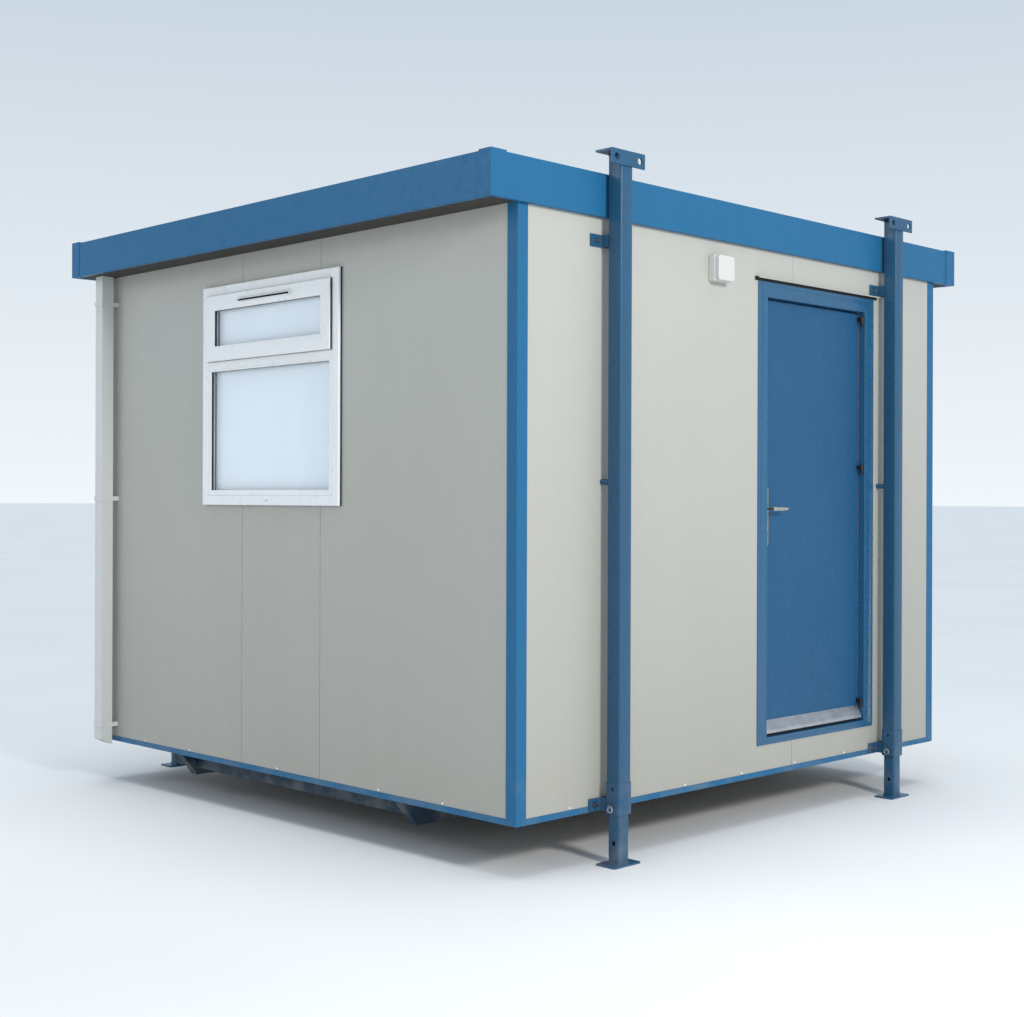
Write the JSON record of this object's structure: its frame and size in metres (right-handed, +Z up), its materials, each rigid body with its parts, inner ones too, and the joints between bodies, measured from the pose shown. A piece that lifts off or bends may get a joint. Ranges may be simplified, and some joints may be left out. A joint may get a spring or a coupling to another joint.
{
  "type": "portable site cabin",
  "caption": "Flat-roofed portable site cabin of pale composite panels with blue steel trim, a hinged door, a window, skid runners and telescoping jack legs.",
  "frame": {"origin": "on the ground, under the middle of the cabin", "axes": "+Z up; the door wall faces -Y and the window wall faces -X, so +X is to the right when the door is faced"},
  "size_m": [3.39, 3.3, 2.847],
  "materials": {
    "wall_panel": "satin plastisol-coated steel with a fine leather grain, pale goosewing grey",
    "blue_steel": "satin blue paint on folded steel",
    "door_blue": "satin blue paint on a flush steel door",
    "skid_steel": "dark blue paint on structural steel, dusty",
    "timber": "rough sawn softwood",
    "floor_covering": "grey vinyl on plywood",
    "roof_panel": "satin coated steel facing",
    "roof_sheet": "weathered coated steel roof sheet",
    "gutter_steel": "galvanised sheet",
    "soffit": "dark matt board",
    "aluminium_trim": "brushed mill-finish aluminium",
    "hinge_steel": "dark steel",
    "handle_metal": "satin metal",
    "brass": "polished brass",
    "white_upvc": "white moulded plastic with a soft gloss",
    "glass": "clear double glazing",
    "galvanised": "bright zinc-plated steel"
  },
  "bodies": {
    "cabin": {"front_wall": "wall_panel", "door_bay_panels": "wall_panel", "left_wall": "wall_panel", "right_wall": "wall_panel", "back_wall": "wall_panel", "corner_posts": "blue_steel", "base_rails": "blue_steel", "floor_joists": "timber", "floor_deck": "floor_covering", "skid_runners": "skid_steel", "cross_beams": "skid_steel", "roof_panel": "roof_panel", "roof_sheet": "roof_sheet", "roof_gutters": "gutter_steel", "soffit_boards": "soffit", "roof_fascias": "blue_steel", "fascia_corner_caps": "blue_steel", "door_jambs": "blue_steel", "door_head": "blue_steel", "door_threshold": "blue_steel", "door_drip_bar": "aluminium_trim", "hinge_pintles": "hinge_steel", "window_frame": "white_upvc", "window_panes": "glass", "fanlight_sash": "white_upvc", "trickle_vent": "white_upvc", "junction_box": "white_upvc", "junction_box_lid": "white_upvc", "downpipes": "white_upvc", "pipe_clips": "white_upvc", "leg_tubes": "blue_steel", "leg_caps": "blue_steel", "leg_cleats": "blue_steel", "leg_brackets": "blue_steel", "leg_pins": "galvanised"},
    "door": {"door_leaf": "door_blue", "hinge_knuckles": "hinge_steel", "door_weather_bar": "aluminium_trim", "handle_plates": "handle_metal", "lock_cylinders": "brass"},
    "lever": {"door_levers": "handle_metal"},
    "leg_front_left_slide": {"leg_front_left": "blue_steel"},
    "leg_front_right_slide": {"leg_front_right": "blue_steel"},
    "leg_back_left_slide": {"leg_back_left": "blue_steel"},
    "leg_back_right_slide": {"leg_back_right": "blue_steel"}
  },
  "joints": [
    {"name": "door_hinge", "type": "hinge", "parent": "cabin", "child": "door", "pos_m": [0.866, -1.521, 1.4], "axis": [0, 0, 1], "range_deg": [0, 90]},
    {"name": "handle_turn", "type": "hinge", "parent": "door", "child": "lever", "pos_m": [0.105, -1.475, 1.42], "axis": [0, 1, 0], "range_deg": [0, 40], "stiffness_Nm_per_rad": 1, "springref_deg": -20.05},
    {"name": "leg_front_left_telescope", "type": "slide", "parent": "cabin", "child": "leg_front_left_slide", "axis": [0, 0, 1], "range_m": [0, 0.18]},
    {"name": "leg_front_right_telescope", "type": "slide", "parent": "cabin", "child": "leg_front_right_slide", "axis": [0, 0, 1], "range_m": [0, 0.18]},
    {"name": "leg_back_left_telescope", "type": "slide", "parent": "cabin", "child": "leg_back_left_slide", "axis": [0, 0, 1], "range_m": [0, 0.18]},
    {"name": "leg_back_right_telescope", "type": "slide", "parent": "cabin", "child": "leg_back_right_slide", "axis": [0, 0, 1], "range_m": [0, 0.18]}
  ]
}
